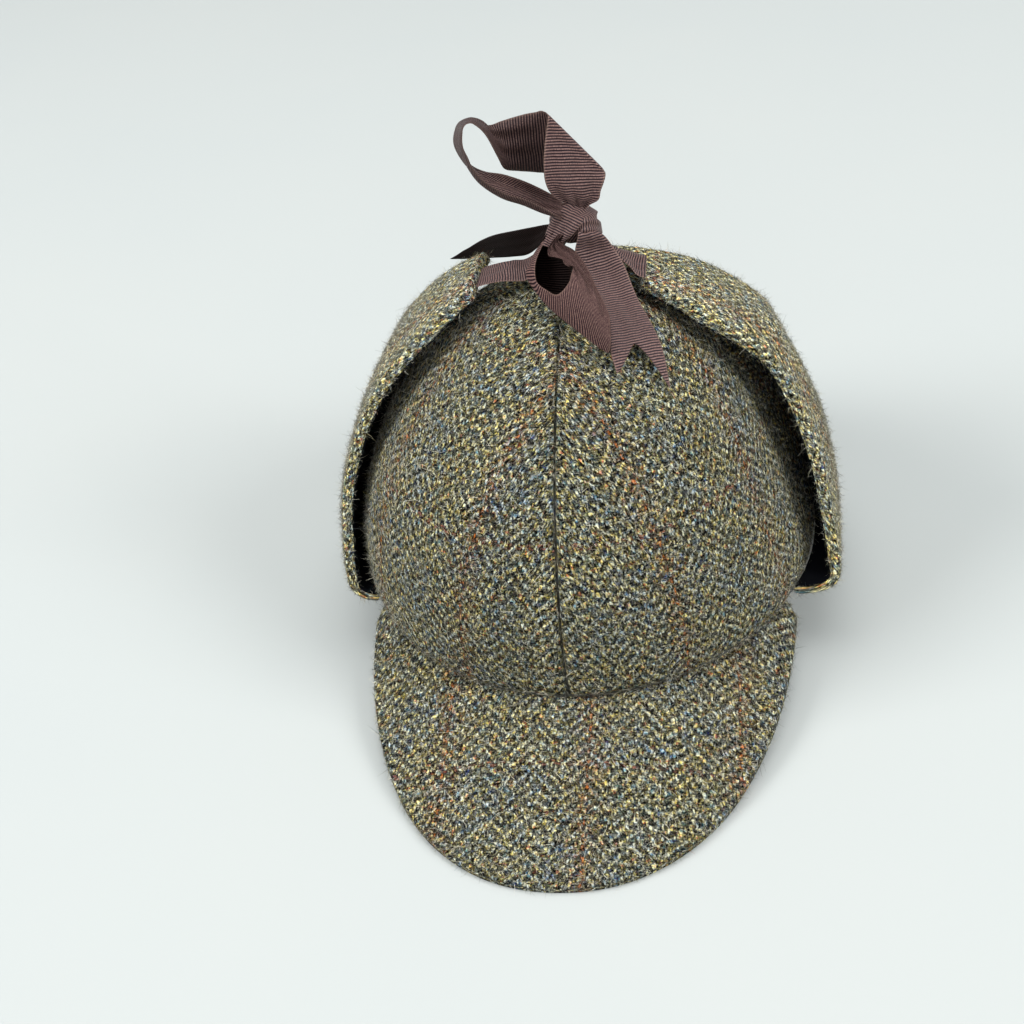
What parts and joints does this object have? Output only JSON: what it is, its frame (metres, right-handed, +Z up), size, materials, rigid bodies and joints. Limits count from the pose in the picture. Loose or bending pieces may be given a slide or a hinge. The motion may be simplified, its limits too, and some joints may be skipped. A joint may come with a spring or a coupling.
{
  "type": "deerstalker hat",
  "caption": "Deerstalker hat in herringbone tweed, with a front and a back peak and two ear flaps tied up over the crown with a ribbon bow.",
  "frame": {"origin": "under the middle of the crown, on the surface that the two peaks stand on", "axes": "+Z up, the front peak towards -Y, the wearer's left towards +X; left and right in the names are as seen from the front"},
  "size_m": [0.1952, 0.3366, 0.1992],
  "materials": {
    "tweed": "rough woollen herringbone twill",
    "ribbon": "ribbed grosgrain"
  },
  "bodies": {
    "root": {"crown_gore_1": "tweed", "crown_gore_2": "tweed", "crown_gore_3": "tweed", "crown_gore_4": "tweed", "front_peak": "tweed", "back_peak": "tweed", "left_ear_flap": "tweed", "right_ear_flap": "tweed", "left_tie": "ribbon", "right_tie": "ribbon", "bow_knot": "ribbon", "bow_upper_loop": "ribbon", "bow_front_loop": "ribbon", "bow_left_tail": "ribbon", "bow_front_tail": "ribbon"}
  },
  "joints": []
}
